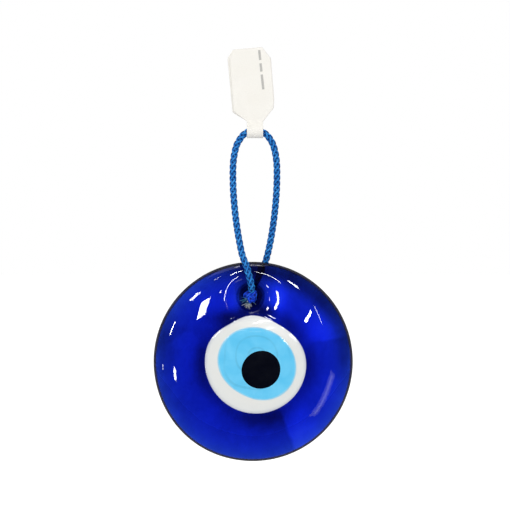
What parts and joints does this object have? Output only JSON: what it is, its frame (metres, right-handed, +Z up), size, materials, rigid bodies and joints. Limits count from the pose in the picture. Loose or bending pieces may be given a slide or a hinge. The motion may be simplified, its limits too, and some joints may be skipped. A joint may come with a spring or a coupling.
{
  "type": "evil eye ornament",
  "caption": "Hanging eye charm: a pressed cobalt glass disc with an inlaid white, light-blue and black eye, on a knotted braided cord loop with a blank folded paper label.",
  "frame": {"origin": "the hanging point: the underside of the cord loop's crown, where a hook or nail carries the ornament", "axes": "+Z up, -Y towards the viewer of the eye (the disc's front), +X to the viewer's right; the disc lies in the XZ plane"},
  "size_m": [0.06, 0.0114, 0.125],
  "materials": {
    "cord": "braided bright-blue cord, matt with a slight sheen",
    "cobalt_glass": "deep cobalt glass, fire polished",
    "white_glass": "opaque white glass, glossy",
    "light_blue_glass": "opaque light-blue glass with faint swirls, glossy",
    "black_glass": "opaque black glass, glossy",
    "paper": "matt warm-white label card"
  },
  "bodies": {
    "cord_loop": {"hanging_cord": "cord", "cord_knot": "cord"},
    "disc": {"glass_disc": "cobalt_glass", "eye_white": "white_glass", "iris": "light_blue_glass", "pupil": "black_glass"},
    "tag_neck": {"tag_neck_loop": "paper"},
    "tag": {"tag_leaves": "paper"}
  },
  "joints": [
    {"name": "disc_swing", "type": "hinge", "parent": "cord_loop", "child": "disc", "pos_m": [-0.00136, 0, -0.04925], "axis": [0, 1, 0], "range_deg": [-50, 50]},
    {"name": "tag_slide", "type": "hinge", "parent": "cord_loop", "child": "tag_neck", "pos_m": [0, 0, -0.00425], "axis": [0, 1, 0], "range_deg": [-20, 20]},
    {"name": "tag_swing", "type": "hinge", "parent": "tag_neck", "child": "tag", "pos_m": [0, 0, 0.00062], "axis": [1, 0, 0], "range_deg": [-140, 140]}
  ]
}
